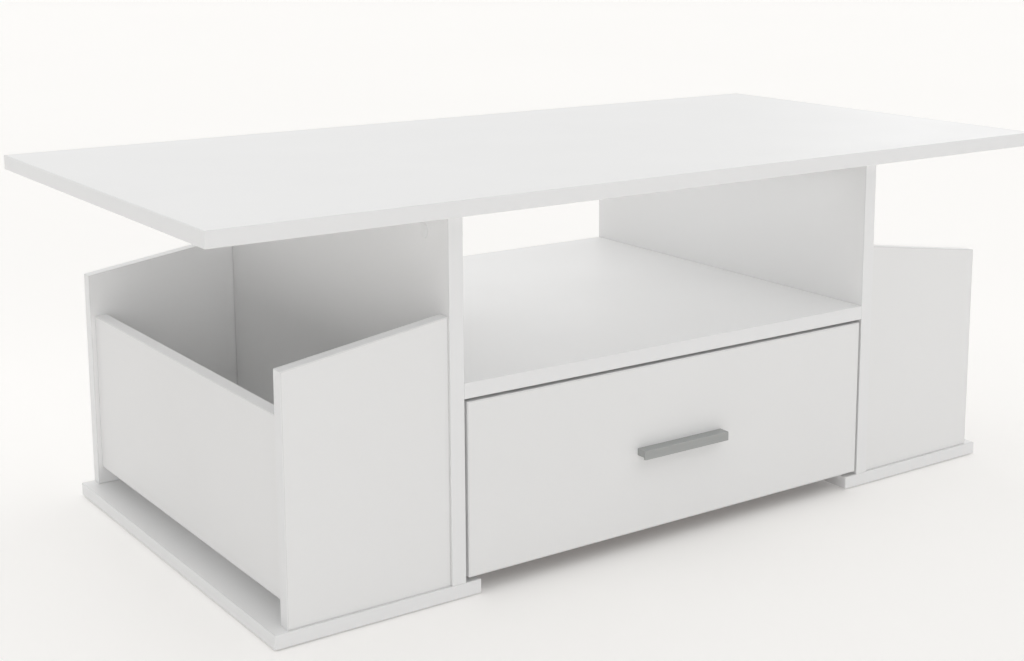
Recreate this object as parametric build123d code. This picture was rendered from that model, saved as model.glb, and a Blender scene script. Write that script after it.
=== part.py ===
from build123d import *

import os

# Coffee table of coated boards: a slab top on two uprights, an open shelf with a drawer under it, and an
# open magazine rack at each end.
# Millimetres. X runs along the length, -Y is the front, +Z is up. The origin is on the floor, under the
# middle of the top.

# ---- tabletop ----
TOP_LENGTH = 1200.0
TOP_DEPTH = 600.0
TOP_THICKNESS = 18.0

# ---- base plates and floor glides ----
BASE_DEPTH = 560.0
BASE_THICKNESS = 16.0
BASE_INNER_LIP = 19.5  # how far a base plate reaches into the drawer bay, past the upright
BASE_OUTER_LIP = 16.0  # how far it reaches past the rack
GLIDE_HEIGHT = 1.5
GLIDE_RADIUS = 9.0
GLIDE_SPIGOT_RADIUS = 1.5
GLIDE_SPIGOT_LENGTH = 9.0
GLIDE_INSET_X = 25.0
GLIDE_INSET_Y = 30.0

# ---- uprights, shelf and the panel that closes the bay at the back ----
BAY_WIDTH = 603.0
UPRIGHT_HEIGHT = 412.0
UPRIGHT_THICKNESS = 18.0
SHELF_THICKNESS = 18.0
BACK_PANEL_THICKNESS = 16.0

# ---- magazine racks ----
RACK_LENGTH = 196.5
RACK_PANEL_THICKNESS = 16.0
RACK_OUTER_HEIGHT = 274.0
RACK_INNER_HEIGHT = 302.0
RACK_SETBACK = 3.0  # front and rear panels behind the base plate's edges
RACK_END_RECESS = 6.0  # end panel in from the ends of the front and rear panels
RACK_END_LIFT = 22.5  # gap between the base plate and the end panel
RACK_END_HEIGHT = 199.0

# ---- drawer ----
FRONT_HEIGHT = 200.0
FRONT_THICKNESS = 16.0
FRONT_GAP = 3.5  # at both sides of the front and over it
FRONT_BOTTOM_GAP = 5.0  # from the level of the base plates' tops
DRAWER_BOARD = 12.0
DRAWER_SIDE_HEIGHT = 140.0
DRAWER_SIDE_RISE = 23.5  # bottom edge of the sides above the front's bottom edge
DRAWER_REAR_CLEARANCE = 28.0
DRAWER_BOTTOM_THICKNESS = 3.0
DRAWER_BOTTOM_RISE = 10.0  # underside of the drawer bottom above the sides' bottom edge
GROOVE_DEPTH = 6.0
GROOVE_CLEARANCE = 0.1

# ---- handle ----
HANDLE_LENGTH = 128.0
HANDLE_DEPTH = 15.0
HANDLE_HEIGHT = 8.5
HANDLE_LIP_DROP = 2.5  # the front lip hangs this far below the rest
HANDLE_WALL = 3.0
HANDLE_TOP_WALL = 2.5
HANDLE_TOP_DROP = 97.5  # top of the handle under the top edge of the drawer front
HANDLE_EDGE_RADIUS = 0.6
HANDLE_SCREW_SPACING = 96.0
HANDLE_BOSS_RADIUS = 3.4
HANDLE_BOSS_LENGTH = 6.0  # from the drawer front
HANDLE_BOSS_OVERLAP = 1.0  # the boss is sunk this far into the handle's top wall
HANDLE_SCREW_RADIUS = 2.0
HANDLE_SCREW_HEAD_RADIUS = 4.0
HANDLE_SCREW_HEAD_HEIGHT = 2.0
HANDLE_SCREW_BITE = 5.0  # how far the screw goes into the handle

# ---- roller runners ----
RUNNER_GAP = 12.5  # between the upright and the drawer side
RUNNER_SHEET = 1.2
ROLLER_RADIUS = 9.0
ROLLER_RIM_RADIUS = 0.8
ROLLER_CLEARANCE = 0.3  # above and below a roller
ROLLER_SIDE_GAP = 0.75
ROLLER_BORE_CLEARANCE = 0.05
AXLE_RADIUS = 2.0
AXLE_HEAD_RADIUS = 3.5
AXLE_HEAD_THICKNESS = 0.8
AXLE_HEAD_GAP = 1.2  # from the axle's head to the other runner's web
LIP_CLEARANCE = 1.2  # between the drawer runner's lip and the channel's top flange
FLANGE_CLEARANCE = 1.8  # between the channel's flanges and the drawer runner's web
LIP_SIDE_GAP = 2.0  # from the drawer runner's lip to the channel's web
HOOK_FLANGE_WIDTH = 11.2  # flange under the drawer side
CHANNEL_FRONT_GAP = 2.0  # from the back of the drawer front to the channel
RUNNER_FRONT_GAP = 1.0
RUNNER_STOP_GAP = 1.0
CABINET_ROLLER_SETBACK = 14.0
DRAWER_ROLLER_SETBACK = 12.0
RUNNER_SCREW_INSET = 45.0
RUNNER_SCREW_RADIUS = 1.75
RUNNER_SCREW_HEAD_RADIUS = 3.2
RUNNER_SCREW_HEAD = 0.7
RUNNER_SCREW_LENGTH = 12.0
HOOK_SCREW_LENGTH = 9.0

# ---- fittings ----
FIT = 0.05  # radial clearance of a fitting in its hole
OVERCUT = 1.0  # a bore starts this far outside the face that it is cut into
CAM_RADIUS = 7.45
CAM_HEIGHT = 11.4
CAM_BORE_DEPTH = 12.5
SMALL_CAM_RADIUS = 6.0
SMALL_CAM_HEIGHT = 9.0
SMALL_CAM_BORE_DEPTH = 9.5
CAM_SETBACK = 24.0  # cam centre from the face that the bolt screws into
CAM_SLOT_WIDTH = 1.4
CAM_SLOT_LENGTH = 8.0
CAM_SLOT_DEPTH = 2.0
CAM_POCKET_REACH = 4.0  # the pocket for the bolt's head goes this far past the cam's centre
BOLT_SHANK_RADIUS = 2.9
BOLT_NECK_RADIUS = 1.9
BOLT_HEAD_RADIUS = 2.7
BOLT_HEAD_LENGTH = 2.5
BOLT_POCKET_RADIUS = 3.0
BOLT_THREAD_RADIUS = 2.45
BOLT_THREAD_LENGTH = 11.0
DOWEL_RADIUS = 4.0
SMALL_DOWEL_RADIUS = 3.0
DOWEL_IN_FACE = 10.0
DOWEL_IN_EDGE = 20.0
DOWEL_END_GAP = 1.0
DOWEL_OFFSET = 32.0  # dowel from the cam bolt beside it
COVER_RADIUS = 8.75
COVER_THICKNESS = 0.8
COVER_PLUG_LENGTH = 1.0
SCREW_LENGTH = 50.0
SCREW_SHANK_LENGTH = 16.0
SCREW_SHANK_RADIUS = 3.5
SCREW_THREAD_RADIUS = 3.1
SCREW_HEAD_RADIUS = 5.0
SCREW_HEAD_DEPTH = 3.0
SCREW_RECESS = 0.2  # head below the board's face
HEX_RADIUS = 2.2
HEX_DEPTH = 2.0
THIN_SCREW_LENGTH = 38.0
THIN_SCREW_RADIUS = 1.9
THIN_SCREW_HEAD_RADIUS = 3.8
THIN_SCREW_HEAD_DEPTH = 2.2
BOTTOM_SCREW_LENGTH = 15.0
BOTTOM_SCREW_RADIUS = 1.4
BOTTOM_SCREW_HEAD_RADIUS = 2.8
BOTTOM_SCREW_HEAD_DEPTH = 1.4
BOTTOM_SCREW_SPACING = 180.0

EDGE_RADIUS = 1.0  # softened edge of a coated board
DRAWER_EDGE_RADIUS = 0.5
FITTING_INSET = 50.0  # first cam bolt from the board's front or rear edge
BASE_SCREW_INSET = 70.0
RACK_BASE_SCREW_INSET = 50.0
RACK_CAM_INSET = 35.0  # cam bolts from the end panel's top and bottom edges
BACK_CAM_INSET = 37.5
DRAWER_CAM_INSET = 34.0

# ---- places worked out from the sizes ----
BASE_TOP = GLIDE_HEIGHT + BASE_THICKNESS
UPRIGHT_TOP = BASE_TOP + UPRIGHT_HEIGHT
BAY_HALF = BAY_WIDTH / 2
UPRIGHT_OUTER = BAY_HALF + UPRIGHT_THICKNESS
UPRIGHT_MIDDLE = BAY_HALF + UPRIGHT_THICKNESS / 2
RACK_OUTER = UPRIGHT_OUTER + RACK_LENGTH
BASE_INNER = BAY_HALF - BASE_INNER_LIP
BASE_OUTER = RACK_OUTER + BASE_OUTER_LIP
FRONT_FACE = -BASE_DEPTH / 2
REAR_FACE = BASE_DEPTH / 2

FRONT_BACK = FRONT_FACE + FRONT_THICKNESS
FRONT_BOTTOM = BASE_TOP + FRONT_BOTTOM_GAP
FRONT_TOP = FRONT_BOTTOM + FRONT_HEIGHT
SHELF_UNDER = FRONT_TOP + FRONT_GAP
SHELF_MIDDLE = SHELF_UNDER + SHELF_THICKNESS / 2
BACK_PANEL_FRONT = REAR_FACE - BACK_PANEL_THICKNESS
BACK_PANEL_MIDDLE = REAR_FACE - BACK_PANEL_THICKNESS / 2

RACK_INSIDE = REAR_FACE - RACK_SETBACK - RACK_PANEL_THICKNESS
RACK_PANEL_MIDDLE = RACK_INSIDE + RACK_PANEL_THICKNESS / 2
RACK_END_OUTER = RACK_OUTER - RACK_END_RECESS
RACK_END_MIDDLE = RACK_END_OUTER - RACK_PANEL_THICKNESS / 2
RACK_END_BOTTOM = BASE_TOP + RACK_END_LIFT
RACK_END_TOP = RACK_END_BOTTOM + RACK_END_HEIGHT

DRAWER_OUTER = BAY_HALF - RUNNER_GAP
DRAWER_INNER = DRAWER_OUTER - DRAWER_BOARD
DRAWER_SIDE_MIDDLE = DRAWER_OUTER - DRAWER_BOARD / 2
DRAWER_REAR = BACK_PANEL_FRONT - DRAWER_REAR_CLEARANCE
DRAWER_SIDE_BOTTOM = FRONT_BOTTOM + DRAWER_SIDE_RISE
DRAWER_SIDE_TOP = DRAWER_SIDE_BOTTOM + DRAWER_SIDE_HEIGHT
DRAWER_FLOOR_UNDER = DRAWER_SIDE_BOTTOM + DRAWER_BOTTOM_RISE
DRAWER_FLOOR_TOP = DRAWER_FLOOR_UNDER + DRAWER_BOTTOM_THICKNESS
DRAWER_BACK_MIDDLE = DRAWER_REAR - DRAWER_BOARD / 2

# The drawer runner's web lies on the drawer side, and its hook flange under it. Both rollers stand in the
# channel between its bottom flange and the drawer runner's lip.
HOOK_BOTTOM = DRAWER_SIDE_BOTTOM - RUNNER_SHEET
CHANNEL_FLOOR = HOOK_BOTTOM - ROLLER_CLEARANCE
ROLLER_AXIS_Z = CHANNEL_FLOOR + ROLLER_CLEARANCE + ROLLER_RADIUS
LIP_UNDER = ROLLER_AXIS_Z + ROLLER_RADIUS + ROLLER_CLEARANCE
LIP_TOP = LIP_UNDER + RUNNER_SHEET
CHANNEL_BOTTOM = CHANNEL_FLOOR - RUNNER_SHEET
CHANNEL_CEILING = LIP_TOP + LIP_CLEARANCE
CHANNEL_TOP = CHANNEL_CEILING + RUNNER_SHEET
CHANNEL_WEB = BAY_HALF - RUNNER_SHEET
DRAWER_WEB = DRAWER_OUTER + RUNNER_SHEET
WEB_GAP = CHANNEL_WEB - DRAWER_WEB
AXLE_SPAN = WEB_GAP - AXLE_HEAD_THICKNESS - AXLE_HEAD_GAP
CHANNEL_MOUTH = DRAWER_WEB + FLANGE_CLEARANCE
CHANNEL_START = FRONT_BACK + CHANNEL_FRONT_GAP
CHANNEL_END = DRAWER_REAR + RUNNER_STOP_GAP
DRAWER_RUNNER_START = FRONT_BACK + RUNNER_FRONT_GAP
CABINET_ROLLER_Y = CHANNEL_START + CABINET_ROLLER_SETBACK
DRAWER_ROLLER_Y = DRAWER_REAR - DRAWER_ROLLER_SETBACK

HANDLE_TOP = FRONT_TOP - HANDLE_TOP_DROP
HANDLE_BOTTOM = HANDLE_TOP - HANDLE_HEIGHT
HANDLE_SCREW_Z = HANDLE_TOP - HANDLE_TOP_WALL - HANDLE_BOSS_RADIUS + HANDLE_BOSS_OVERLAP

RIGHT, BACK, UP = Vector(1, 0, 0), Vector(0, 1, 0), Vector(0, 0, 1)


# ---- shapes used throughout ----
def block(x_range, y_range, z_range):
    """A plain box between two values on each axis."""
    size = [high - low for low, high in (x_range, y_range, z_range)]
    middle = [(high + low) / 2 for low, high in (x_range, y_range, z_range)]
    return Pos(*middle) * Box(*size)


def board(x_range, y_range, z_range, radius=EDGE_RADIUS):
    """A board with softened edges."""
    plain = block(x_range, y_range, z_range)
    return fillet(plain.edges(), radius)


def rod(start, direction, radius, length):
    """A cylinder that starts at a point and runs along a direction."""
    place = Plane(origin=start, z_dir=direction)
    return place * Cylinder(radius, length, align=(Align.CENTER, Align.CENTER, Align.MIN))


def cone(start, direction, first_radius, last_radius, length):
    """A tapered cylinder that starts at a point and runs along a direction."""
    place = Plane(origin=start, z_dir=direction)
    shape = Cone(first_radius, last_radius, length, align=(Align.CENTER, Align.CENTER, Align.MIN))
    return place * shape


def join(shapes):
    """One solid from shapes that touch or overlap."""
    whole = shapes[0]
    for shape in shapes[1:]:
        whole = whole + shape
    return whole


def drill(body, holes):
    """The body with all the holes cut out of it."""
    for hole in holes:
        body = body - hole
    return body


def mirrored(shape):
    """The same shape on the left of the table."""
    return mirror(shape, about=Plane.YZ)


def both_sides(shapes):
    """Shapes on the right and their mirror images on the left."""
    return list(shapes) + [mirrored(shape) for shape in shapes]


CAM = (CAM_RADIUS, CAM_HEIGHT, CAM_BORE_DEPTH)
SMALL_CAM = (SMALL_CAM_RADIUS, SMALL_CAM_HEIGHT, SMALL_CAM_BORE_DEPTH)
THIN_SCREW = (THIN_SCREW_LENGTH, THIN_SCREW_RADIUS, THIN_SCREW_HEAD_RADIUS, THIN_SCREW_HEAD_DEPTH)
BOTTOM_SCREW = (
    BOTTOM_SCREW_LENGTH,
    BOTTOM_SCREW_RADIUS,
    BOTTOM_SCREW_HEAD_RADIUS,
    BOTTOM_SCREW_HEAD_DEPTH,
)


# ---- fittings: each stands on the face where two boards meet, and its direction points into the board
# whose face is drilled ----
def dowel(point, direction, radius=DOWEL_RADIUS):
    return rod(point - direction * DOWEL_IN_EDGE, direction, radius, DOWEL_IN_EDGE + DOWEL_IN_FACE)


def dowel_hole(point, direction, radius=DOWEL_RADIUS):
    start = point - direction * (DOWEL_IN_EDGE + DOWEL_END_GAP)
    return rod(start, direction, radius + FIT, DOWEL_IN_EDGE + DOWEL_IN_FACE + DOWEL_END_GAP)


def cam_bolt(point, direction, cam_radius=CAM_RADIUS):
    """A bolt screwed into the drilled face, with its head in the cam."""
    head_end = CAM_SETBACK + BOLT_HEAD_LENGTH / 2
    shank_length = CAM_SETBACK - cam_radius - FIT
    return join(
        [
            rod(point, direction, BOLT_THREAD_RADIUS, BOLT_THREAD_LENGTH),
            rod(point, -direction, BOLT_SHANK_RADIUS, shank_length),
            rod(point, -direction, BOLT_NECK_RADIUS, CAM_SETBACK),
            rod(point - direction * head_end, direction, BOLT_HEAD_RADIUS, BOLT_HEAD_LENGTH),
        ]
    )


def cam_bolt_hole(point, direction):
    """The pilot hole in the drilled face and the bore in the other board's edge, up to the cam."""
    pilot = rod(point, direction, BOLT_THREAD_RADIUS + FIT, BOLT_THREAD_LENGTH)
    bore = rod(point, -direction, BOLT_SHANK_RADIUS + FIT, CAM_SETBACK)
    return join([pilot, bore])


def cam_lock(point, direction, outward, depth_to_axis, sizes):
    """The cam that pulls a bolt tight. outward points out of the face that it is set into. sizes: radius,
    height, bore depth."""
    radius, height, bore_depth = sizes
    centre = point - direction * CAM_SETBACK
    bottom = centre + outward * (depth_to_axis - bore_depth)
    body = rod(bottom, outward, radius, height)
    pocket_start = centre - direction * CAM_POCKET_REACH
    pocket = rod(pocket_start, direction, BOLT_POCKET_RADIUS, CAM_POCKET_REACH + 2 * radius)
    slot_place = Plane(origin=bottom + outward * height, x_dir=direction, z_dir=outward)
    slots = [Box(CAM_SLOT_LENGTH, CAM_SLOT_WIDTH, 2 * CAM_SLOT_DEPTH)]
    slots.append(Box(CAM_SLOT_WIDTH, CAM_SLOT_LENGTH, 2 * CAM_SLOT_DEPTH))
    return drill(body, [pocket] + [slot_place * slot for slot in slots])


def cam_bore(point, direction, outward, depth_to_axis, sizes):
    """The flat-bottomed bore that a cam sits in."""
    radius, _, bore_depth = sizes
    face_point = point - direction * CAM_SETBACK + outward * depth_to_axis
    return rod(face_point - outward * bore_depth, outward, radius + FIT, bore_depth + OVERCUT)


def cam_cover(point, direction, outward, depth_to_axis):
    """A plug-in cap over a cam."""
    face_point = point - direction * CAM_SETBACK + outward * depth_to_axis
    disc = rod(face_point, outward, COVER_RADIUS, COVER_THICKNESS)
    rounded = fillet(disc.edges().sort_by(Axis(face_point, outward))[-1], COVER_THICKNESS / 2)
    plug = rod(face_point - outward * COVER_PLUG_LENGTH, outward, CAM_RADIUS, COVER_PLUG_LENGTH)
    return rounded + plug


def board_screw(face_point, direction):
    """A countersunk screw with a hexagon socket, driven from a face into an edge behind it."""
    start = face_point + direction * SCREW_RECESS
    head = cone(start, direction, SCREW_HEAD_RADIUS, SCREW_SHANK_RADIUS, SCREW_HEAD_DEPTH)
    shank = rod(start, direction, SCREW_SHANK_RADIUS, SCREW_SHANK_LENGTH)
    thread = rod(start, direction, SCREW_THREAD_RADIUS, SCREW_LENGTH)
    socket_place = Plane(origin=start, z_dir=direction)
    socket = socket_place * extrude(RegularPolygon(HEX_RADIUS, 6), HEX_DEPTH)
    return join([head, shank, thread]) - socket


def board_screw_hole(face_point, direction):
    start = face_point + direction * SCREW_RECESS
    entry = rod(face_point - direction * OVERCUT, direction, SCREW_HEAD_RADIUS + FIT, OVERCUT + SCREW_RECESS)
    head = cone(
        start, direction, SCREW_HEAD_RADIUS + FIT, SCREW_SHANK_RADIUS + FIT, SCREW_HEAD_DEPTH
    )
    shank = rod(start, direction, SCREW_SHANK_RADIUS + FIT, SCREW_SHANK_LENGTH)
    thread = rod(start, direction, SCREW_THREAD_RADIUS + FIT, SCREW_LENGTH)
    return join([entry, head, shank, thread])


def small_screw(face_point, direction, sizes, fit=0.0):
    """A small countersunk wood screw, or its hole if fit is given. sizes: length, radius, head radius,
    head depth."""
    length, radius, head_radius, head_depth = sizes
    head = cone(face_point, direction, head_radius + fit, radius + fit, head_depth)
    return head + rod(face_point, direction, radius + fit, length)


# ---- where the fittings go, on the right of the table ----
def front_and_rear(inset):
    return (FRONT_FACE + inset, REAR_FACE - inset)


def toward_middle(y, distance):
    return y + distance if y < 0 else y - distance


TOP_BOLTS = [Vector(UPRIGHT_MIDDLE, y, UPRIGHT_TOP) for y in front_and_rear(FITTING_INSET)]
TOP_DOWELS = [
    Vector(UPRIGHT_MIDDLE, toward_middle(y, DOWEL_OFFSET), UPRIGHT_TOP)
    for y in front_and_rear(FITTING_INSET)
]
SHELF_BOLTS = [Vector(BAY_HALF, y, SHELF_MIDDLE) for y in front_and_rear(FITTING_INSET)]
SHELF_DOWELS = [
    Vector(BAY_HALF, toward_middle(y, DOWEL_OFFSET), SHELF_MIDDLE)
    for y in front_and_rear(FITTING_INSET)
]
BACK_BOLTS = [
    Vector(BAY_HALF, BACK_PANEL_MIDDLE, z)
    for z in (FRONT_BOTTOM + BACK_CAM_INSET, SHELF_UNDER - BACK_CAM_INSET - SHELF_THICKNESS)
]
BACK_DOWELS = [Vector(BAY_HALF, BACK_PANEL_MIDDLE, (BACK_BOLTS[0].Z + BACK_BOLTS[1].Z) / 2)]
RACK_BOLT_HEIGHTS = (RACK_END_BOTTOM + RACK_CAM_INSET, RACK_END_TOP - RACK_CAM_INSET)
RACK_DOWEL_HEIGHT = (RACK_END_BOTTOM + RACK_END_TOP) / 2
# The rack screws go halfway between the back panel's fittings, which stand behind the rear ones.
RACK_SCREW_HEIGHTS = [(bolt.Z + BACK_DOWELS[0].Z) / 2 for bolt in BACK_BOLTS]
RACK_SCREWS = [
    Vector(BAY_HALF, y, z) for y in (-RACK_PANEL_MIDDLE, RACK_PANEL_MIDDLE) for z in RACK_SCREW_HEIGHTS
]
BASE_SCREWS_UPRIGHT = [
    Vector(UPRIGHT_MIDDLE, y, GLIDE_HEIGHT) for y in (*front_and_rear(BASE_SCREW_INSET), 0.0)
]
BASE_SCREWS_RACK = [
    Vector(x, y, GLIDE_HEIGHT)
    for x in (UPRIGHT_OUTER + RACK_BASE_SCREW_INSET, RACK_OUTER - RACK_BASE_SCREW_INSET)
    for y in (-RACK_PANEL_MIDDLE, RACK_PANEL_MIDDLE)
]
GLIDES = [
    Vector(x, y, 0)
    for x in (BASE_INNER + GLIDE_INSET_X, BASE_OUTER - GLIDE_INSET_X)
    for y in front_and_rear(GLIDE_INSET_Y)
]
DRAWER_BOLTS = [
    Vector(DRAWER_SIDE_MIDDLE, FRONT_BACK, z)
    for z in (DRAWER_SIDE_BOTTOM + DRAWER_CAM_INSET, DRAWER_SIDE_TOP - DRAWER_CAM_INSET)
]
DRAWER_DOWELS = [
    Vector(DRAWER_SIDE_MIDDLE, FRONT_BACK, (DRAWER_SIDE_BOTTOM + DRAWER_SIDE_TOP) / 2)
]
DRAWER_BACK_SCREWS = [Vector(DRAWER_OUTER, DRAWER_BACK_MIDDLE, bolt.Z) for bolt in DRAWER_BOLTS]
DRAWER_BOTTOM_SCREWS = [
    Vector(x, DRAWER_BACK_MIDDLE, DRAWER_FLOOR_UNDER)
    for x in (-BOTTOM_SCREW_SPACING, 0.0, BOTTOM_SCREW_SPACING)
]
HANDLE_SCREWS = [
    Vector(x, FRONT_BACK, HANDLE_SCREW_Z) for x in (-HANDLE_SCREW_SPACING / 2, HANDLE_SCREW_SPACING / 2)
]
CHANNEL_SCREW_YS = (
    CHANNEL_START + RUNNER_SCREW_INSET,
    (CHANNEL_START + CHANNEL_END) / 2,
    CHANNEL_END - RUNNER_SCREW_INSET,
)
HOOK_SCREW_YS = (
    DRAWER_RUNNER_START + RUNNER_SCREW_INSET,
    (DRAWER_RUNNER_START + DRAWER_REAR) / 2,
    DRAWER_REAR - RUNNER_SCREW_INSET,
)


def rack_fittings(make, heights):
    """One fitting at each end of the end panel at each height. make takes the point and direction."""
    made = []
    for direction in (BACK, -BACK):
        for z in heights:
            point = Vector(RACK_END_MIDDLE, direction.Y * RACK_INSIDE, z)
            made.append(make(point, direction))
    return made


# ---- boards of the carcass ----
def tabletop():
    half_length, half_depth = TOP_LENGTH / 2, TOP_DEPTH / 2
    slab = board(
        (-half_length, half_length),
        (-half_depth, half_depth),
        (UPRIGHT_TOP, UPRIGHT_TOP + TOP_THICKNESS),
    )
    holes = [cam_bolt_hole(point, UP) for point in TOP_BOLTS]
    holes += [dowel_hole(point, UP) for point in TOP_DOWELS]
    return drill(slab, both_sides(holes))


def upright():
    panel = board((BAY_HALF, UPRIGHT_OUTER), (FRONT_FACE, REAR_FACE), (BASE_TOP, UPRIGHT_TOP))
    half = UPRIGHT_THICKNESS / 2
    holes = [cam_bolt_hole(point, UP) for point in TOP_BOLTS]
    holes += [cam_bore(point, UP, RIGHT, half, CAM) for point in TOP_BOLTS]
    holes += [dowel_hole(point, UP) for point in TOP_DOWELS]
    holes += [cam_bolt_hole(point, RIGHT) for point in SHELF_BOLTS + BACK_BOLTS]
    holes += [dowel_hole(point, RIGHT) for point in SHELF_DOWELS + BACK_DOWELS]
    holes += [board_screw_hole(point, RIGHT) for point in RACK_SCREWS]
    holes += [board_screw_hole(point, UP) for point in BASE_SCREWS_UPRIGHT]
    holes += [channel_screw(y, FIT) for y in CHANNEL_SCREW_YS]
    return drill(panel, holes)


def shelf():
    plate = board(
        (-BAY_HALF, BAY_HALF), (FRONT_FACE, REAR_FACE), (SHELF_UNDER, SHELF_UNDER + SHELF_THICKNESS)
    )
    half = SHELF_THICKNESS / 2
    holes = [cam_bolt_hole(point, RIGHT) for point in SHELF_BOLTS]
    holes += [cam_bore(point, RIGHT, -UP, half, CAM) for point in SHELF_BOLTS]
    holes += [dowel_hole(point, RIGHT) for point in SHELF_DOWELS]
    return drill(plate, both_sides(holes))


def bay_back_panel():
    panel = board((-BAY_HALF, BAY_HALF), (BACK_PANEL_FRONT, REAR_FACE), (FRONT_BOTTOM, SHELF_UNDER))
    half = BACK_PANEL_THICKNESS / 2
    holes = [cam_bolt_hole(point, RIGHT) for point in BACK_BOLTS]
    holes += [cam_bore(point, RIGHT, -BACK, half, CAM) for point in BACK_BOLTS]
    holes += [dowel_hole(point, RIGHT) for point in BACK_DOWELS]
    return drill(panel, both_sides(holes))


def base_plate():
    plate = board((BASE_INNER, BASE_OUTER), (FRONT_FACE, REAR_FACE), (GLIDE_HEIGHT, BASE_TOP))
    holes = [board_screw_hole(point, UP) for point in BASE_SCREWS_UPRIGHT + BASE_SCREWS_RACK]
    spigot_reach = GLIDE_HEIGHT + GLIDE_SPIGOT_LENGTH
    holes += [rod(point, UP, GLIDE_SPIGOT_RADIUS + FIT, spigot_reach) for point in GLIDES]
    return drill(plate, holes)


def rack_front_panel():
    """The side of the rack that faces front: its top edge slopes down toward the table's end."""
    outline = Polyline(
        (UPRIGHT_OUTER, BASE_TOP),
        (RACK_OUTER, BASE_TOP),
        (RACK_OUTER, BASE_TOP + RACK_OUTER_HEIGHT),
        (UPRIGHT_OUTER, BASE_TOP + RACK_INNER_HEIGHT),
        close=True,
    )
    place = Plane(origin=(0, -RACK_INSIDE, 0), x_dir=(1, 0, 0), z_dir=(0, -1, 0))
    plain = extrude(place * make_face(outline), RACK_PANEL_THICKNESS)
    panel = fillet(plain.edges(), EDGE_RADIUS)
    holes = rack_fittings(cam_bolt_hole, RACK_BOLT_HEIGHTS)
    holes += rack_fittings(dowel_hole, (RACK_DOWEL_HEIGHT,))
    holes += [board_screw_hole(point, RIGHT) for point in RACK_SCREWS]
    holes += [board_screw_hole(point, UP) for point in BASE_SCREWS_RACK]
    return drill(panel, holes)


def rack_rear_panel():
    return mirror(rack_front_panel(), about=Plane.XZ)


def rack_end_panel():
    panel = board(
        (RACK_END_OUTER - RACK_PANEL_THICKNESS, RACK_END_OUTER),
        (-RACK_INSIDE, RACK_INSIDE),
        (RACK_END_BOTTOM, RACK_END_TOP),
    )
    holes = rack_fittings(cam_bolt_hole, RACK_BOLT_HEIGHTS)
    holes += rack_fittings(rack_cam_bore, RACK_BOLT_HEIGHTS)
    holes += rack_fittings(dowel_hole, (RACK_DOWEL_HEIGHT,))
    return drill(panel, holes)


def rack_cam_bore(point, direction):
    return cam_bore(point, direction, -RIGHT, RACK_PANEL_THICKNESS / 2, CAM)


def rack_cam_lock(point, direction):
    return cam_lock(point, direction, -RIGHT, RACK_PANEL_THICKNESS / 2, CAM)


def rack_cam_cover(point, direction):
    return cam_cover(point, direction, -RIGHT, RACK_PANEL_THICKNESS / 2)


def glide(point):
    disc = rod(point, UP, GLIDE_RADIUS, GLIDE_HEIGHT)
    eased = fillet(disc.edges().sort_by(Axis.Z)[0], GLIDE_HEIGHT / 3)
    spigot = rod(point, UP, GLIDE_SPIGOT_RADIUS, GLIDE_HEIGHT + GLIDE_SPIGOT_LENGTH)
    return eased + spigot


# ---- roller runners ----
def channel_screw(y, fit=0.0):
    """Fixes the channel to the upright. Its flat head stands in the channel."""
    start = Vector(CHANNEL_WEB, y, ROLLER_AXIS_Z)
    head = rod(start, -RIGHT, RUNNER_SCREW_HEAD_RADIUS, RUNNER_SCREW_HEAD)
    return head + rod(start, RIGHT, RUNNER_SCREW_RADIUS + fit, RUNNER_SCREW_LENGTH)


def hook_screw(y, fit=0.0):
    """Fixes the drawer runner from below to the bottom edge of the drawer side."""
    start = Vector(DRAWER_SIDE_MIDDLE, y, HOOK_BOTTOM)
    head = rod(start, -UP, RUNNER_SCREW_HEAD_RADIUS, RUNNER_SCREW_HEAD)
    return head + rod(start, UP, RUNNER_SCREW_RADIUS + fit, HOOK_SCREW_LENGTH)


def cabinet_runner():
    """A channel on the upright, open toward the drawer, closed at the rear by a folded stop."""
    length = (CHANNEL_START, CHANNEL_END + RUNNER_SHEET)
    web = block((CHANNEL_WEB, BAY_HALF), length, (CHANNEL_BOTTOM, CHANNEL_TOP))
    floor = block((CHANNEL_MOUTH, BAY_HALF), length, (CHANNEL_BOTTOM, CHANNEL_FLOOR))
    ceiling = block((CHANNEL_MOUTH, BAY_HALF), length, (CHANNEL_CEILING, CHANNEL_TOP))
    stop_range = (CHANNEL_END, CHANNEL_END + RUNNER_SHEET)
    stop = block((CHANNEL_MOUTH, BAY_HALF), stop_range, (CHANNEL_BOTTOM, CHANNEL_TOP))
    channel = join([web, floor, ceiling, stop])
    holes = [channel_screw(y, FIT) for y in CHANNEL_SCREW_YS]
    return drill(channel, holes)


def drawer_runner():
    """A folded strip on the drawer side: a web, a flange hooked under the side and a lip that rolls on the
    cabinet roller."""
    length = (DRAWER_RUNNER_START, DRAWER_REAR)
    web = block((DRAWER_OUTER, DRAWER_WEB), length, (HOOK_BOTTOM, LIP_TOP))
    hook_range = (DRAWER_WEB - HOOK_FLANGE_WIDTH, DRAWER_WEB)
    hook = block(hook_range, length, (HOOK_BOTTOM, DRAWER_SIDE_BOTTOM))
    lip = block((DRAWER_OUTER, CHANNEL_WEB - LIP_SIDE_GAP), length, (LIP_UNDER, LIP_TOP))
    holes = [hook_screw(y, FIT) for y in HOOK_SCREW_YS]
    return drill(join([web, hook, lip]), holes)


def axle(start, direction):
    """A riveted stud that stands on a runner's web."""
    stud = rod(start, direction, AXLE_RADIUS, AXLE_SPAN)
    head = rod(start + direction * AXLE_SPAN, direction, AXLE_HEAD_RADIUS, AXLE_HEAD_THICKNESS)
    return stud + head


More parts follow.
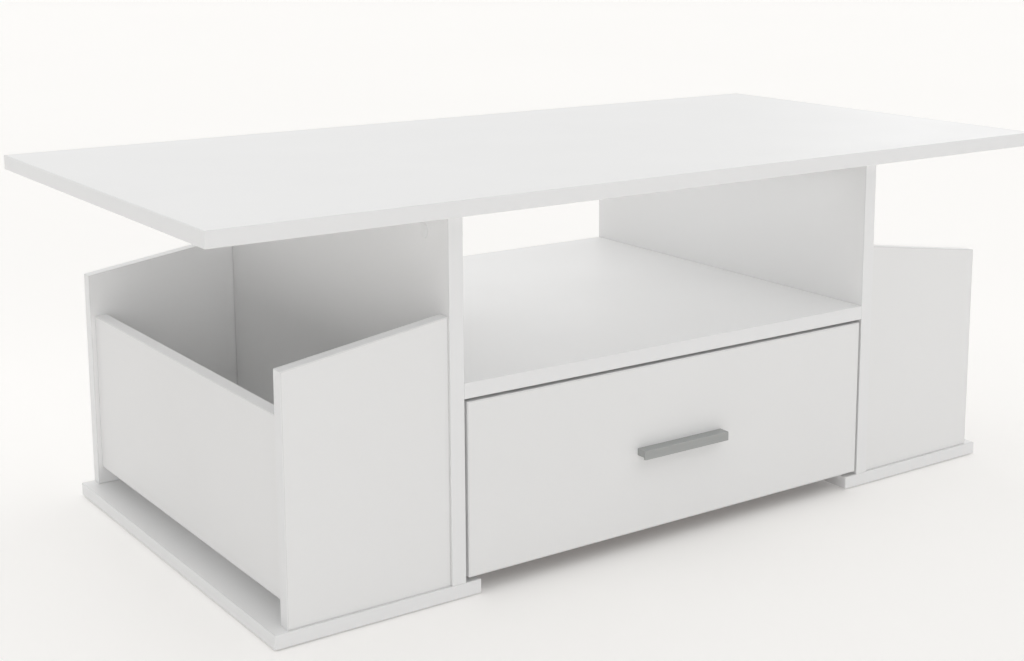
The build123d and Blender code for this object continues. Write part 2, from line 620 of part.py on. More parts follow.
def roller(start, direction):
    """A plastic wheel on an axle, with rounded rims."""
    width = AXLE_SPAN - 2 * ROLLER_SIDE_GAP
    wheel = rod(start + direction * ROLLER_SIDE_GAP, direction, ROLLER_RADIUS, width)
    rounded = fillet(wheel.edges(), ROLLER_RIM_RADIUS)
    bore = rod(start, direction, AXLE_RADIUS + ROLLER_BORE_CLEARANCE, AXLE_SPAN)
    return rounded - bore


CABINET_AXLE = Vector(CHANNEL_WEB, CABINET_ROLLER_Y, ROLLER_AXIS_Z)
DRAWER_AXLE = Vector(DRAWER_WEB, DRAWER_ROLLER_Y, ROLLER_AXIS_Z)


# ---- drawer ----
def drawer_floor(clearance=0.0):
    """The thin bottom, or the groove that takes it if a clearance is given."""
    reach = DRAWER_INNER + GROOVE_DEPTH - GROOVE_CLEARANCE + clearance
    front_end = FRONT_BACK - GROOVE_DEPTH + GROOVE_CLEARANCE - clearance
    z_range = (DRAWER_FLOOR_UNDER - clearance, DRAWER_FLOOR_TOP + clearance)
    return block((-reach, reach), (front_end, DRAWER_REAR), z_range)


def drawer_bottom():
    holes = [small_screw(point, UP, BOTTOM_SCREW, FIT) for point in DRAWER_BOTTOM_SCREWS]
    return drill(drawer_floor(), holes)


def drawer_front():
    reach = BAY_HALF - FRONT_GAP
    panel = board((-reach, reach), (FRONT_FACE, FRONT_BACK), (FRONT_BOTTOM, FRONT_TOP))
    side_holes = [cam_bolt_hole(point, -BACK) for point in DRAWER_BOLTS]
    side_holes += [dowel_hole(point, -BACK, SMALL_DOWEL_RADIUS) for point in DRAWER_DOWELS]
    handle_holes = [
        rod(point, -BACK, HANDLE_SCREW_RADIUS + FIT, FRONT_THICKNESS) for point in HANDLE_SCREWS
    ]
    return drill(panel, both_sides(side_holes) + handle_holes + [drawer_floor(GROOVE_CLEARANCE)])


def drawer_side():
    panel = board(
        (DRAWER_INNER, DRAWER_OUTER),
        (FRONT_BACK, DRAWER_REAR),
        (DRAWER_SIDE_BOTTOM, DRAWER_SIDE_TOP),
        DRAWER_EDGE_RADIUS,
    )
    half = DRAWER_BOARD / 2
    holes = [cam_bolt_hole(point, -BACK) for point in DRAWER_BOLTS]
    holes += [cam_bore(point, -BACK, RIGHT, half, SMALL_CAM) for point in DRAWER_BOLTS]
    holes += [dowel_hole(point, -BACK, SMALL_DOWEL_RADIUS) for point in DRAWER_DOWELS]
    holes += [small_screw(point, -RIGHT, THIN_SCREW, FIT) for point in DRAWER_BACK_SCREWS]
    holes += [hook_screw(y, FIT) for y in HOOK_SCREW_YS]
    return drill(panel, holes + [drawer_floor(GROOVE_CLEARANCE)])


def drawer_back():
    panel = board(
        (-DRAWER_INNER, DRAWER_INNER),
        (DRAWER_REAR - DRAWER_BOARD, DRAWER_REAR),
        (DRAWER_FLOOR_TOP, DRAWER_SIDE_TOP),
        DRAWER_EDGE_RADIUS,
    )
    side_holes = [small_screw(point, -RIGHT, THIN_SCREW, FIT) for point in DRAWER_BACK_SCREWS]
    bottom_holes = [small_screw(point, UP, BOTTOM_SCREW, FIT) for point in DRAWER_BOTTOM_SCREWS]
    return drill(panel, both_sides(side_holes) + bottom_holes)


def handle():
    """A ledge with a finger pocket under it and a front lip that hangs a little lower."""
    half = HANDLE_LENGTH / 2
    front = FRONT_FACE - HANDLE_DEPTH
    body = block((-half, half), (front, FRONT_FACE), (HANDLE_BOTTOM, HANDLE_TOP))
    lip_range = (HANDLE_BOTTOM - HANDLE_LIP_DROP, HANDLE_TOP)
    lip = block((-half, half), (front, front + HANDLE_WALL), lip_range)
    shell = body + lip
    shell = fillet(shell.edges(), HANDLE_EDGE_RADIUS)
    pocket = block(
        (-half + HANDLE_WALL, half - HANDLE_WALL),
        (front + HANDLE_WALL, FRONT_FACE - HANDLE_WALL),
        (HANDLE_BOTTOM - HANDLE_LIP_DROP, HANDLE_TOP - HANDLE_TOP_WALL),
    )
    hollow = shell - pocket
    boss_start = FRONT_FACE - HANDLE_WALL
    for point in HANDLE_SCREWS:
        boss_point = Vector(point.X, boss_start, point.Z)
        hollow = hollow + rod(boss_point, -BACK, HANDLE_BOSS_RADIUS, HANDLE_BOSS_LENGTH - HANDLE_WALL)
        face_point = Vector(point.X, FRONT_FACE, point.Z)
        hollow = hollow - rod(face_point, -BACK, HANDLE_SCREW_RADIUS + FIT, HANDLE_SCREW_BITE)
    return hollow


def handle_screw(point):
    """A pan-head screw from inside the drawer, through the front and into the handle."""
    head = rod(point, BACK, HANDLE_SCREW_HEAD_RADIUS, HANDLE_SCREW_HEAD_HEIGHT)
    domed = fillet(head.edges().sort_by(Axis.Y)[-1], HANDLE_SCREW_HEAD_HEIGHT / 2)
    return domed + rod(point, -BACK, HANDLE_SCREW_RADIUS, FRONT_THICKNESS + HANDLE_SCREW_BITE)


# ---- every node: a name and its solids ----
def carcass_nodes():
    right_boards = {
        "upright": upright(),
        "base_plate": base_plate(),
        "rack_front_panel": rack_front_panel(),
        "rack_rear_panel": rack_rear_panel(),
        "rack_end_panel": rack_end_panel(),
        "cabinet_runner": cabinet_runner(),
    }
    nodes = {"tabletop": [tabletop()], "shelf": [shelf()], "bay_back_panel": [bay_back_panel()]}
    for name, shape in right_boards.items():
        nodes["right_" + name] = [shape]
        nodes["left_" + name] = [mirrored(shape)]
    return nodes


def carcass_fitting_nodes():
    upright_half, shelf_half = UPRIGHT_THICKNESS / 2, SHELF_THICKNESS / 2
    back_half = BACK_PANEL_THICKNESS / 2
    right_groups = {
        "floor_glides": [glide(point) for point in GLIDES],
        "top_cam_locks": [cam_lock(point, UP, RIGHT, upright_half, CAM) for point in TOP_BOLTS],
        "top_cam_covers": [cam_cover(point, UP, RIGHT, upright_half) for point in TOP_BOLTS],
        "top_cam_bolts": [cam_bolt(point, UP) for point in TOP_BOLTS],
        "top_dowels": [dowel(point, UP) for point in TOP_DOWELS],
        "shelf_cam_locks": [cam_lock(point, RIGHT, -UP, shelf_half, CAM) for point in SHELF_BOLTS],
        "shelf_cam_bolts": [cam_bolt(point, RIGHT) for point in SHELF_BOLTS],
        "shelf_dowels": [dowel(point, RIGHT) for point in SHELF_DOWELS],
        "back_panel_cam_locks": [cam_lock(point, RIGHT, -BACK, back_half, CAM) for point in BACK_BOLTS],
        "back_panel_cam_bolts": [cam_bolt(point, RIGHT) for point in BACK_BOLTS],
        "back_panel_dowels": [dowel(point, RIGHT) for point in BACK_DOWELS],
        "rack_cam_locks": rack_fittings(rack_cam_lock, RACK_BOLT_HEIGHTS),
        "rack_cam_covers": rack_fittings(rack_cam_cover, RACK_BOLT_HEIGHTS),
        "rack_cam_bolts": rack_fittings(cam_bolt, RACK_BOLT_HEIGHTS),
        "rack_dowels": rack_fittings(dowel, (RACK_DOWEL_HEIGHT,)),
        "rack_screws": [board_screw(point, RIGHT) for point in RACK_SCREWS],
        "base_screws": [board_screw(point, UP) for point in BASE_SCREWS_UPRIGHT + BASE_SCREWS_RACK],
        "cabinet_runner_screws": [channel_screw(y) for y in CHANNEL_SCREW_YS],
        "cabinet_roller_axles": [axle(CABINET_AXLE, -RIGHT)],
    }
    return {name: both_sides(shapes) for name, shapes in right_groups.items()}


def drawer_nodes():
    side, runner = drawer_side(), drawer_runner()
    half = DRAWER_BOARD / 2
    right_groups = {
        "drawer_cam_locks": [
            cam_lock(point, -BACK, RIGHT, half, SMALL_CAM) for point in DRAWER_BOLTS
        ],
        "drawer_cam_bolts": [cam_bolt(point, -BACK, SMALL_CAM_RADIUS) for point in DRAWER_BOLTS],
        "drawer_dowels": [dowel(point, -BACK, SMALL_DOWEL_RADIUS) for point in DRAWER_DOWELS],
        "drawer_back_screws": [small_screw(point, -RIGHT, THIN_SCREW) for point in DRAWER_BACK_SCREWS],
        "drawer_runner_screws": [hook_screw(y) for y in HOOK_SCREW_YS],
        "drawer_roller_axles": [axle(DRAWER_AXLE, RIGHT)],
    }
    nodes = {name: both_sides(shapes) for name, shapes in right_groups.items()}
    nodes["drawer_front"] = [drawer_front()]
    nodes["drawer_back"] = [drawer_back()]
    nodes["drawer_bottom"] = [drawer_bottom()]
    nodes["right_drawer_side"] = [side]
    nodes["left_drawer_side"] = [mirrored(side)]
    nodes["right_drawer_runner"] = [runner]
    nodes["left_drawer_runner"] = [mirrored(runner)]
    nodes["drawer_bottom_screws"] = [
        small_screw(point, UP, BOTTOM_SCREW) for point in DRAWER_BOTTOM_SCREWS
    ]
    nodes["handle"] = [handle()]
    nodes["handle_screws"] = [handle_screw(point) for point in HANDLE_SCREWS]
    return nodes


def roller_nodes():
    cabinet, drawer = roller(CABINET_AXLE, -RIGHT), roller(DRAWER_AXLE, RIGHT)
    return {
        "right_cabinet_roller": [cabinet],
        "left_cabinet_roller": [mirrored(cabinet)],
        "right_drawer_roller": [drawer],
        "left_drawer_roller": [mirrored(drawer)],
    }


def main():
    os.makedirs("parts", exist_ok=True)
    nodes = {**carcass_nodes(), **carcass_fitting_nodes(), **drawer_nodes(), **roller_nodes()}
    for name, shapes in nodes.items():
        solids = [solid for shape in shapes for solid in shape.solids()]
        export_step(Compound(children=solids), "parts/" + name + ".step")
        print(name, len(solids))


main()
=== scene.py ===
import math

import bmesh
import bpy
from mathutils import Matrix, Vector


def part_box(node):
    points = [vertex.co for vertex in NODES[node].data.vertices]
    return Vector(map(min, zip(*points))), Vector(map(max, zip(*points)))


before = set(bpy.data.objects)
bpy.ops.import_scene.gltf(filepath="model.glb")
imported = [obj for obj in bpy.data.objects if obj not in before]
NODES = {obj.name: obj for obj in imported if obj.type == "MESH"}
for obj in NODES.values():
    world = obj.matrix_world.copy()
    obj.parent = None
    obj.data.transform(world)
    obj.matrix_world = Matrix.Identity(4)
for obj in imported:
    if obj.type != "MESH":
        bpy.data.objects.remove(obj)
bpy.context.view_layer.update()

# ---- camera: where it stands, which way it looks, its lens ----
CAMERA_PLACE = (-1.2056, -1.7115, 0.7403)
CAMERA_TURN = 35.63          # degrees from straight at the front towards the right-hand end
CAMERA_TILT = 10.23          # degrees below level
CAMERA_LENS = 57.5           # mm
SENSOR_WIDTH = 36.0          # mm
CAMERA_SHIFT = (-0.044, -0.12)

# ---- light: wide soft lights as far off as the sky, a little even light, and a pale room behind ----
ROOM_TONE = (1.0, 0.995, 0.985)
ROOM_SEEN = 0.94             # how bright the room looks, directly and in reflections
ROOM_LIGHT = 0.26            # how much even light it gives
# Each light's name, degrees round from the front towards the left, degrees up, degrees wide, strength,
# and whether glossy surfaces mirror it.
LIGHTS = (
    ("overhead", 0, 90, 110, 1.48, True),
    ("low_left", 20, 6, 30, 0.60, True),
    ("rear", 180, 14, 60, 0.90, False),
    ("right", -105, 12, 60, 0.39, True),
)
SHELF_FILL = 0.33            # W, a soft panel under the tabletop that opens up the shade on the shelf
RACK_FILL = 0.04             # W, a smaller one over each magazine rack
FILL_COVER = 0.9             # share of the space's width and depth that a panel covers
FILL_DROP = 0.01             # from the tabletop down to a panel

# ---- floor ----
FLOOR_RADIUS = 30.0
FLOOR_SIDES = 96
FLOOR_TONE = (0.965, 0.95, 0.93)
FLOOR_ROUGHNESS = 0.8
FLOOR_SPECULAR = 0.2
FLOOR_GLOW = 0.12            # lifts the floor towards the white of a photographer's sweep

# ---- boards ----
BOARD_WHITE = (0.88, 0.88, 0.878)
BOARD_GREY = (0.775, 0.775, 0.78)
BAND_WHITE = (0.875, 0.877, 0.88)
BAND_SMOOTHER = 0.07         # how much lower an edge band's roughness is than a face's
RUB_ROUGHER = 0.12           # how much rubbing adds to a rounded edge's roughness
PEARL_DEPTH = 0.000035
SEAM_INSET = 0.0011          # from a board's edge to the line where its edge band meets its face
SEAM_WIDTH = 0.00025
SEAM_DEPTH = 0.00008
SEAM_SHADE = (0.62, 0.62, 0.62)
PANEL_END = 0.003            # how near a rack panel's end a point belongs to that end
WEAVE_STEP = 0.0016          # between threads in the mark that the press screen leaves on hardboard

# The range that most of a noise's values lie in.
NOISE_RANGE = (0.3, 0.7)

# The thin direction of each white board, along which its faces look.
BOARD_FACES = {
    "tabletop": 2,
    "shelf": 2,
    "left_base_plate": 2,
    "right_base_plate": 2,
    "left_upright": 0,
    "right_upright": 0,
    "left_rack_end_panel": 0,
    "right_rack_end_panel": 0,
    "left_rack_front_panel": 1,
    "left_rack_rear_panel": 1,
    "right_rack_front_panel": 1,
    "right_rack_rear_panel": 1,
    "bay_back_panel": 1,
    "drawer_front": 1,
}
DRAWER_BOARDS = ("left_drawer_side", "right_drawer_side", "drawer_back")


# ---- node graphs ----

def add(tree, kind, **settings):
    """A new node of this kind with its own settings, such as a math node's operation."""
    made = tree.nodes.new(kind)
    for name, value in settings.items():
        setattr(made, name, value)
    return made


def feed(tree, socket, value):
    """Gives a socket a number, a colour, or another node's output."""
    if isinstance(value, bpy.types.NodeSocket):
        tree.links.new(value, socket)
    else:
        socket.default_value = value


def calc(tree, operation, first, second=0.0):
    """A sum, product or other result of one or two values."""
    made = add(tree, "ShaderNodeMath", operation=operation)
    feed(tree, made.inputs[0], first)
    feed(tree, made.inputs[1], second)
    return made.outputs[0]


def scaled(tree, value, share):
    return calc(tree, "MULTIPLY", value, share)


def rest_of(tree, value):
    """What is left of 1."""
    return calc(tree, "SUBTRACT", 1.0, value)


def along(tree, vector, direction):
    """How far a vector reaches along a direction."""
    made = add(tree, "ShaderNodeVectorMath", operation="DOT_PRODUCT")
    feed(tree, made.inputs[0], vector)
    made.inputs[1].default_value = direction
    return made.outputs["Value"]


def stretched(tree, vector, scale):
    """A vector with each of its parts scaled by its own factor."""
    made = add(tree, "ShaderNodeVectorMath", operation="MULTIPLY")
    feed(tree, made.inputs[0], vector)
    made.inputs[1].default_value = scale
    return made.outputs[0]


def noise(tree, vector, scale, detail=2.0, roughness=0.5):
    made = add(tree, "ShaderNodeTexNoise")
    feed(tree, made.inputs["Vector"], vector)
    made.inputs["Scale"].default_value = scale
    made.inputs["Detail"].default_value = detail
    made.inputs["Roughness"].default_value = roughness
    return made.outputs["Fac"]


def spread(tree, value, between=NOISE_RANGE, to=(0.0, 1.0)):
    """Maps one range of values to another, and holds it at its ends."""
    made = add(tree, "ShaderNodeMapRange")
    feed(tree, made.inputs["Value"], value)
    for name, number in zip(("From Min", "From Max", "To Min", "To Max"), (*between, *to)):
        made.inputs[name].default_value = number
    return made.outputs["Result"]


def blend(tree, share, first, second):
    """A colour between two others."""
    made = add(tree, "ShaderNodeMix", data_type="RGBA")
    feed(tree, made.inputs["Factor"], share)
    for name, value in (("A", first), ("B", second)):
        socket = next(s for s in made.inputs if s.name == name and s.type == "RGBA")
        feed(tree, socket, value if isinstance(value, bpy.types.NodeSocket) else (*value, 1.0))
    return next(s for s in made.outputs if s.type == "RGBA")


def two_tone(tree, value, first, second, between=NOISE_RANGE, most=1.0):
    """A colour that turns from the first to the second as a value crosses a range, up to a share of it."""
    return blend(tree, spread(tree, value, between, (0.0, most)), first, second)


def times(colour, factor):
    return [part * factor for part in colour]


def bump(tree, height, depth, normal=None):
    """A normal for a relief of this depth."""
    made = add(tree, "ShaderNodeBump")
    made.inputs["Strength"].default_value = 1.0
    made.inputs["Distance"].default_value = depth
    feed(tree, made.inputs["Height"], height)
    if normal is not None:
        feed(tree, made.inputs["Normal"], normal)
    return made.outputs["Normal"]


def new_finish(name, metallic=0.0):
    """A material, its shader, and the point and normal on the piece that its patterns follow."""
    material = bpy.data.materials.new(name)
    material.use_nodes = True
    tree = material.node_tree
    shader = tree.nodes["Principled BSDF"]
    shader.inputs["Metallic"].default_value = metallic
    source = add(tree, "ShaderNodeTexCoord")
    return material, tree, shader, source.outputs["Object"], source.outputs["Normal"]


def cover(tree, shader, colour, roughness, relief):
    """Gives the shader the colour, roughness and relief that vary over the surface."""
    feed(tree, shader.inputs["Base Color"], colour)
    feed(tree, shader.inputs["Roughness"], roughness)
    feed(tree, shader.inputs["Normal"], relief)


def rounding(tree, normal):
    """1 on the rounded edges of a board, 0 on its flat sides."""
    axes = ((1, 0, 0), (0, 1, 0), (0, 0, 1))
    sides = [calc(tree, "ABSOLUTE", along(tree, normal, axis)) for axis in axes]
    flat = calc(tree, "MAXIMUM", sides[0], calc(tree, "MAXIMUM", sides[1], sides[2]))
    return spread(tree, flat, (0.80, 0.97), (1.0, 0.0))


# ---- boards ----

def board_edges(node, thin):
    """The straight edges round a board's face, each as the direction that it looks in and how far out it
    lies. The racks' front and rear panels slope down to their outer end."""
    low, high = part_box(node)
    edges = []
    for axis in range(3):
        if axis == thin:
            continue
        for sign, corner in ((1, high), (-1, low)):
            direction = Vector((0, 0, 0))
            direction[axis] = sign
            edges.append((direction, sign * corner[axis]))
    if "rack" in node and thin == 1:
        edges = [edge for edge in edges if edge[0].z < 0.5]
        edges.append(sloping_edge(node))
    return edges


def sloping_edge(node):
    """The top edge of a rack panel, from the highest point at each end of the panel."""
    points = [v.co for v in NODES[node].data.vertices]
    low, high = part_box(node)
    near = max((p for p in points if p.x - low.x < PANEL_END), key=lambda p: p.z)
    far = max((p for p in points if high.x - p.x < PANEL_END), key=lambda p: p.z)
    run = far - near
    direction = Vector((-run.z, 0, run.x)).normalized()
    return direction, max(direction.dot(p) for p in points)


def seam_mask(tree, point, normal, node, thin):
    """1 on the fine line where a board's edge band meets its face, 0 elsewhere."""
    nearest = None
    for direction, reach in board_edges(node, thin):
        gap = calc(tree, "SUBTRACT", reach, along(tree, point, direction))
        nearest = gap if nearest is None else calc(tree, "MINIMUM", nearest, gap)
    off_line = calc(tree, "ABSOLUTE", calc(tree, "SUBTRACT", nearest, SEAM_INSET))
    line = spread(tree, off_line, (SEAM_WIDTH / 2, SEAM_WIDTH), (1.0, 0.0))
    return calc(tree, "MULTIPLY", line, face_mask(tree, normal, thin))


def face_mask(tree, normal, thin):
    """1 on a board's two broad faces, 0 on its edge bands."""
    axis = [0, 0, 0]
    axis[thin] = 1
    return spread(tree, calc(tree, "ABSOLUTE", along(tree, normal, axis)), (0.5, 0.7))


def melamine(node, thin):
    """Satin white melamine faces with plastic edge bands: a fine pearl relief, a faint cloud in tone and
    sheen, smoother bands, the seam beside each band, and slight rubbing on the rounded edges."""
    material, tree, shader, point, normal = new_finish("white_board_" + node)
    face = face_mask(tree, normal, thin)
    cloud = noise(tree, point, 5.0, detail=3.0)
    pearl = noise(tree, point, 620.0, roughness=0.6)
    patches = spread(tree, noise(tree, point, 38.0), (0.45, 0.75))
    rub = calc(tree, "MULTIPLY", rounding(tree, normal), patches)
    seam = seam_mask(tree, point, normal, node, thin)

    tone = two_tone(tree, cloud, BOARD_WHITE, times(BOARD_WHITE, 0.985))
    tone = two_tone(tree, pearl, tone, times(BOARD_WHITE, 0.97), (0.35, 0.65), most=0.35)
    colour = blend(tree, face, BAND_WHITE, tone)
    colour = blend(tree, scaled(tree, rub, 0.35), colour, times(BOARD_WHITE, 0.86))
    colour = blend(tree, scaled(tree, seam, 0.6), colour, SEAM_SHADE)

    sheen = spread(tree, noise(tree, point, 11.0, detail=4.0), to=(0.36, 0.44))
    sheen = calc(tree, "SUBTRACT", sheen, scaled(tree, rest_of(tree, face), BAND_SMOOTHER))
    sheen = calc(tree, "ADD", sheen, scaled(tree, rub, RUB_ROUGHER))

    pearls = bump(tree, calc(tree, "MULTIPLY", pearl, face), PEARL_DEPTH)
    cover(tree, shader, colour, sheen, bump(tree, rest_of(tree, seam), SEAM_DEPTH, pearls))
    return material


def drawer_foil(thin_is_x):
    """Pale foil on the drawer's sides and back: a fine grain pressed into it along the board, with pores."""
    material, tree, shader, point, normal = new_finish("drawer_board_" + ("side" if thin_is_x else "back"))
    grain_way = (900.0, 14.0, 900.0) if thin_is_x else (14.0, 900.0, 900.0)
    grain = noise(tree, stretched(tree, point, grain_way), 1.0, detail=3.0, roughness=0.6)
    cloud = noise(tree, point, 7.0, detail=3.0)
    tone = two_tone(tree, cloud, BOARD_GREY, times(BOARD_GREY, 0.975))
    pores = spread(tree, grain, (0.60, 0.70))
    colour = blend(tree, scaled(tree, pores, 0.25), tone, times(BOARD_GREY, 0.82))
    worn = scaled(tree, rounding(tree, normal), 0.3)
    colour = blend(tree, worn, colour, times(BOARD_GREY, 0.9))
    cover(tree, shader, colour, spread(tree, grain, to=(0.46, 0.58)), bump(tree, grain, 0.00003))
    return material


def hardboard():
    """White lacquer on top of the drawer's bottom; bare brown fibre underneath, with the press screen's
    weave."""
    material, tree, shader, point, normal = new_finish("hardboard")
    fibre = noise(tree, point, 240.0, detail=4.0, roughness=0.7)
    waves = []
    for axis in ((1, 0, 0), (0, 1, 0)):
        angle = scaled(tree, along(tree, point, axis), 2 * math.pi / WEAVE_STEP)
        waves.append(calc(tree, "SINE", angle))
    weave = spread(tree, calc(tree, "MULTIPLY", waves[0], waves[1]), (-1.0, 1.0))
    under = spread(tree, along(tree, normal, (0, 0, -1)), (0.3, 0.6))
    lacquer = two_tone(tree, fibre, (0.79, 0.79, 0.78), (0.73, 0.73, 0.72), (0.35, 0.7))
    brown = blend(tree, calc(tree, "MULTIPLY", weave, fibre), (0.13, 0.07, 0.035), (0.30, 0.18, 0.09))
    roughness = spread(tree, under, (0.0, 1.0), (0.42, 0.85))
    relief = bump(tree, calc(tree, "MULTIPLY", weave, under), 0.0002, bump(tree, fibre, 0.00003))
    cover(tree, shader, blend(tree, under, lacquer, brown), roughness, relief)
    return material


# ---- metals, plastics and wood ----

def satin_metal():
    """The handle: satin metal under a thin grey lacquer, brushed along its length, paler where its edges
    are rubbed."""
    material, tree, shader, point, normal = new_finish("handle_metal", metallic=0.35)
    brush = noise(tree, stretched(tree, point, (9.0, 1500.0, 1500.0)), 1.0, detail=3.0, roughness=0.65)
    cloud = noise(tree, point, 45.0)
    tone = two_tone(tree, brush, (0.36, 0.37, 0.365), (0.415, 0.425, 0.42))
    tone = two_tone(tree, cloud, tone, (0.36, 0.365, 0.36), (0.35, 0.7), most=0.4)
    colour = blend(tree, scaled(tree, rounding(tree, normal), 0.5), tone, (0.44, 0.44, 0.435))
    cover(tree, shader, colour, spread(tree, brush, to=(0.34, 0.46)), bump(tree, brush, 0.00001))
    return material


def metal(name, pale, dark, grain, relief, roughness):
    """Bare or plated metal: two tones in a fine cloud, with its own noise scale, relief depth and range of
    roughness."""
    material, tree, shader, point, normal = new_finish(name, metallic=1.0)
    fine = noise(tree, point, grain, detail=3.0, roughness=0.6)
    broad = noise(tree, point, grain / 8)
    dull = [(a + b) / 2.2 for a, b in zip(pale, dark)]
    tone = two_tone(tree, broad, two_tone(tree, fine, pale, dark), dull, (0.4, 0.7), most=0.5)
    cover(tree, shader, tone, spread(tree, fine, to=roughness), bump(tree, fine, relief))
    return material


def powder_coat():
    """The runners' white powder coat: glossy, with the slow ripple of orange peel."""
    material, tree, shader, point, normal = new_finish("coated_steel")
    peel = noise(tree, point, 330.0, detail=1.0)
    tone = two_tone(tree, noise(tree, point, 20.0, detail=3.0), (0.80, 0.80, 0.79), (0.75, 0.75, 0.735))
    cover(tree, shader, tone, spread(tree, peel, to=(0.26, 0.36)), bump(tree, peel, 0.00006))
    return material


def plastic(name, pale, dark, roughness):
    """Moulded plastic: a faint cloud of tone and the fine spark-eroded grain of its mould."""
    material, tree, shader, point, normal = new_finish(name)
    grain = noise(tree, point, 1400.0, roughness=0.6)
    tone = two_tone(tree, noise(tree, point, 90.0), pale, dark)
    cover(tree, shader, tone, spread(tree, grain, to=roughness), bump(tree, grain, 0.00002))
    return material


def beech():
    """Beech dowels: pale wood with short darker flecks."""
    material, tree, shader, point, normal = new_finish("beech")
    flecks = noise(tree, point, 520.0, detail=4.0, roughness=0.7)
    wood = two_tone(tree, noise(tree, point, 120.0), (0.60, 0.42, 0.26), (0.50, 0.33, 0.19))
    colour = two_tone(tree, flecks, wood, (0.32, 0.19, 0.10), (0.58, 0.68), most=0.6)
    cover(tree, shader, colour, spread(tree, flecks, to=(0.55, 0.7)), bump(tree, flecks, 0.00005))
    return material


def fitting_finishes():
    """The finishes that aren't boards', by the slot that they replace."""
    return {
        "hardboard": hardboard(),
        "handle_metal": satin_metal(),
        "zinc_casting": metal(
            "zinc_casting", (0.50, 0.50, 0.51), (0.40, 0.40, 0.41), 700.0, 0.00005, (0.42, 0.60)
        ),
        "zinc_plated_steel": metal(
            "zinc_plated_steel", (0.66, 0.67, 0.70), (0.58, 0.58, 0.58), 900.0, 0.00001, (0.22, 0.38)
        ),
        "coated_steel": powder_coat(),
        "roller_plastic": plastic("roller_plastic", (0.78, 0.77, 0.73), (0.73, 0.72, 0.68), (0.38, 0.50)),
        "glide_plastic": plastic("glide_plastic", (0.37, 0.37, 0.37), (0.33, 0.33, 0.33), (0.45, 0.58)),
        "cover_plastic": plastic("cover_plastic", (0.88, 0.88, 0.88), (0.85, 0.85, 0.85), (0.34, 0.44)),
        "beech": beech(),
    }


def dress():
    """Gives every node of the part its finish, by its name or by the slot that it came with."""
    side_foil = drawer_foil(thin_is_x=True)
    back_foil = drawer_foil(thin_is_x=False)
    shared = fitting_finishes()
    for name, piece in NODES.items():
        slot = piece.data.materials[0].name
        if name in BOARD_FACES:
            piece.data.materials[0] = melamine(name, BOARD_FACES[name])
        elif name in DRAWER_BOARDS:
            piece.data.materials[0] = back_foil if name == "drawer_back" else side_foil
        else:
            piece.data.materials[0] = shared[slot]


# ---- the room ----

def make_floor():
    """A plain pale floor, a wide disc under the table."""
    mesh = bpy.data.meshes.new("floor")
    shape = bmesh.new()
    bmesh.ops.create_circle(shape, cap_ends=True, segments=FLOOR_SIDES, radius=FLOOR_RADIUS)
    shape.to_mesh(mesh)
    shape.free()
    floor = bpy.data.objects.new("floor", mesh)
    bpy.context.scene.collection.objects.link(floor)
    material, tree, shader, point, normal = new_finish("floor")
    tone = two_tone(tree, noise(tree, point, 0.8), FLOOR_TONE, times(FLOOR_TONE, 0.99))
    feed(tree, shader.inputs["Base Color"], tone)
    shader.inputs["Roughness"].default_value = FLOOR_ROUGHNESS
    shader.inputs["Specular IOR Level"].default_value = FLOOR_SPECULAR
    shader.inputs["Emission Color"].default_value = (1.0, 1.0, 1.0, 1.0)
    shader.inputs["Emission Strength"].default_value = FLOOR_GLOW
    mesh.materials.append(material)


def make_light(name, round_left, up, width, strength, mirrored):
    """A far soft light that shines on the table from this bearing and height."""
    lamp = bpy.data.lights.new(name, "SUN")
    lamp.angle = math.radians(width)
    lamp.energy = strength
    bearing, height = math.radians(round_left), math.radians(up)
    level = math.cos(height)
    towards = Vector((-math.sin(bearing) * level, -math.cos(bearing) * level, math.sin(height)))
    holder = bpy.data.objects.new(name, lamp)
    holder.rotation_mode = "QUATERNION"
    holder.rotation_quaternion = towards.to_track_quat("Z", "Y")
    holder.visible_glossy = mirrored
    bpy.context.scene.collection.objects.link(holder)


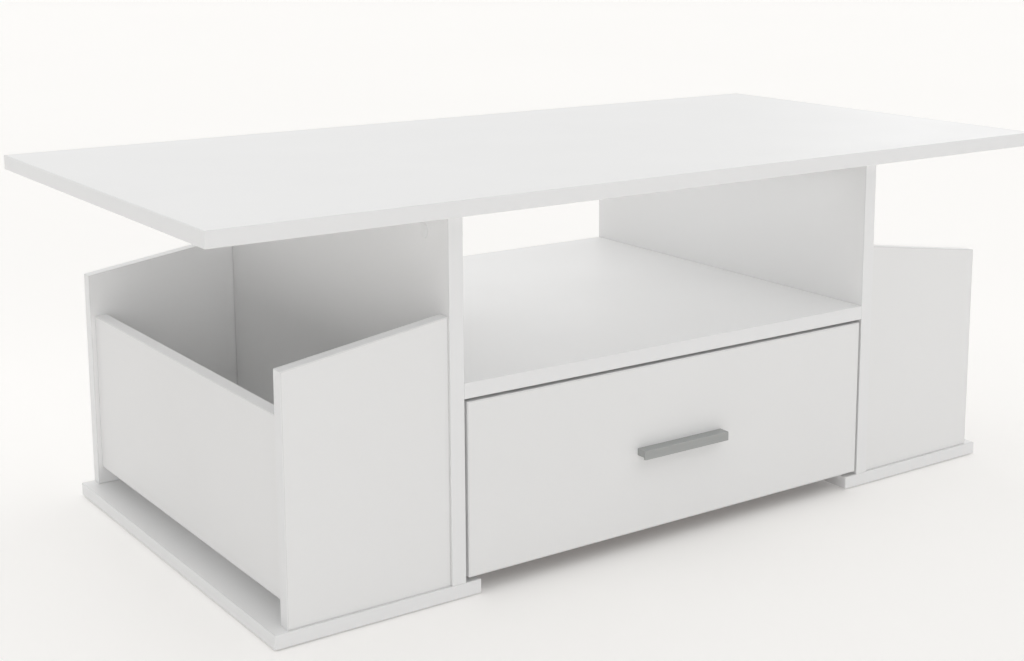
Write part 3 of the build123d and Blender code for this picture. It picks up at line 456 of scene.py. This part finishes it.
def make_fill(name, left, right, strength):
    """A soft panel that hangs under the tabletop between two places along it, and doesn't show itself."""
    front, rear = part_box("shelf")[0].y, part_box("shelf")[1].y
    lamp = bpy.data.lights.new(name, "AREA")
    lamp.shape = "RECTANGLE"
    lamp.size = FILL_COVER * (right - left)
    lamp.size_y = FILL_COVER * (rear - front)
    lamp.energy = strength
    holder = bpy.data.objects.new(name, lamp)
    holder.location = ((left + right) / 2, (front + rear) / 2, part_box("tabletop")[0].z - FILL_DROP)
    holder.visible_camera = False
    holder.visible_glossy = False
    bpy.context.scene.collection.objects.link(holder)


def make_fills():
    """The soft panels over the shelf and over each rack."""
    left_outer, left_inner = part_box("left_upright")[0].x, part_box("left_upright")[1].x
    right_inner, right_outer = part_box("right_upright")[0].x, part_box("right_upright")[1].x
    make_fill("shelf_fill", left_inner, right_inner, SHELF_FILL)
    make_fill("left_rack_fill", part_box("left_rack_end_panel")[0].x, left_outer, RACK_FILL)
    make_fill("right_rack_fill", right_outer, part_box("right_rack_end_panel")[1].x, RACK_FILL)


def make_room_light():
    """A pale room that looks brighter than the even light it casts, so that the lights above shape the
    table."""
    world = bpy.data.worlds.new("studio")
    world.use_nodes = True
    tree = world.node_tree
    ray = add(tree, "ShaderNodeLightPath")
    seen = calc(tree, "MAXIMUM", ray.outputs["Is Camera Ray"], ray.outputs["Is Glossy Ray"])
    backdrop = tree.nodes["Background"]
    feed(tree, backdrop.inputs["Strength"], spread(tree, seen, (0.0, 1.0), (ROOM_LIGHT, ROOM_SEEN)))
    backdrop.inputs["Color"].default_value = (*ROOM_TONE, 1.0)
    bpy.context.scene.world = world
    bpy.context.scene.view_settings.view_transform = "Standard"


def make_camera():
    lens = bpy.data.cameras.new("camera")
    lens.lens = CAMERA_LENS
    lens.sensor_width = SENSOR_WIDTH
    lens.shift_x, lens.shift_y = CAMERA_SHIFT
    camera = bpy.data.objects.new("camera", lens)
    camera.location = CAMERA_PLACE
    camera.rotation_euler = (math.radians(90 - CAMERA_TILT), 0, math.radians(-CAMERA_TURN))
    bpy.context.scene.collection.objects.link(camera)
    bpy.context.scene.camera = camera


dress()
make_floor()
for light in LIGHTS:
    make_light(*light)
make_fills()
make_room_light()
make_camera()
